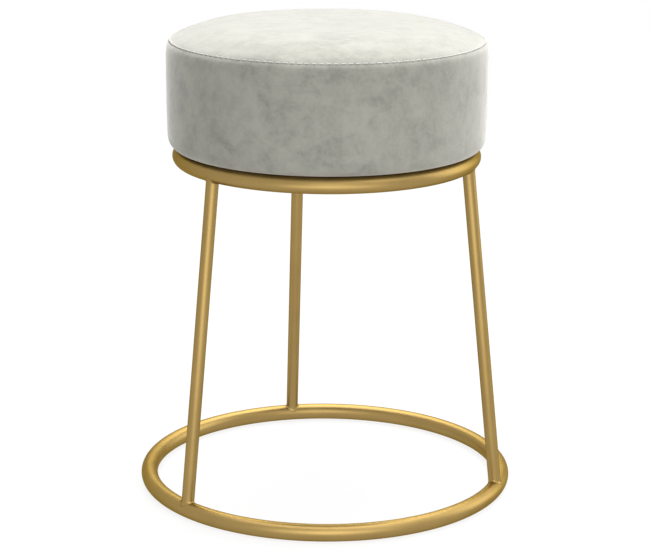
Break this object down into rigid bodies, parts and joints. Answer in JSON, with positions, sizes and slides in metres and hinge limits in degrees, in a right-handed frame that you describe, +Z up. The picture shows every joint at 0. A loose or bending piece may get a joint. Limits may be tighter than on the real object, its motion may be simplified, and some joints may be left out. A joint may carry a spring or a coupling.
{
  "type": "vanity stool",
  "caption": "Round backless stool: a velvet drum seat bolted on a gold steel frame of a small top hoop, splayed legs and a wide floor hoop.",
  "frame": {"origin": "on the floor, at the middle of the base hoop", "axes": "+Z up through the middle of the seat, +Y towards the rear leg, +X to the right seen from the front"},
  "size_m": [0.3616, 0.3616, 0.45],
  "materials": {
    "gold_coating": "satin",
    "velvet": "matte",
    "sewing_thread": "matte",
    "white_fibre": "matte",
    "foam": "matte",
    "plywood": "matte",
    "black_cloth": "matte",
    "zinc_plate": "satin"
  },
  "bodies": {
    "root": {"base_ring": "gold_coating", "top_ring": "gold_coating", "leg_rear": "gold_coating", "leg_left": "gold_coating", "leg_right": "gold_coating", "seat_bracket_1": "gold_coating", "seat_bracket_2": "gold_coating", "seat_bracket_3": "gold_coating", "seat_board": "plywood", "foam_pad": "foam", "wadding": "white_fibre", "cover_top_panel": "velvet", "cover_side_band": "velvet", "seam_thread": "sewing_thread", "dust_cover": "black_cloth", "tee_nut_1": "zinc_plate", "tee_nut_2": "zinc_plate", "tee_nut_3": "zinc_plate", "seat_bolt_1": "zinc_plate", "seat_bolt_2": "zinc_plate", "seat_bolt_3": "zinc_plate", "spring_washer_1": "zinc_plate", "spring_washer_2": "zinc_plate", "spring_washer_3": "zinc_plate", "flat_washer_1": "zinc_plate", "flat_washer_2": "zinc_plate", "flat_washer_3": "zinc_plate", "staple_01": "zinc_plate", "staple_02": "zinc_plate", "staple_03": "zinc_plate", "staple_04": "zinc_plate", "staple_05": "zinc_plate", "staple_06": "zinc_plate", "staple_07": "zinc_plate", "staple_08": "zinc_plate", "staple_09": "zinc_plate", "staple_10": "zinc_plate", "staple_11": "zinc_plate", "staple_12": "zinc_plate"}
  },
  "joints": []
}
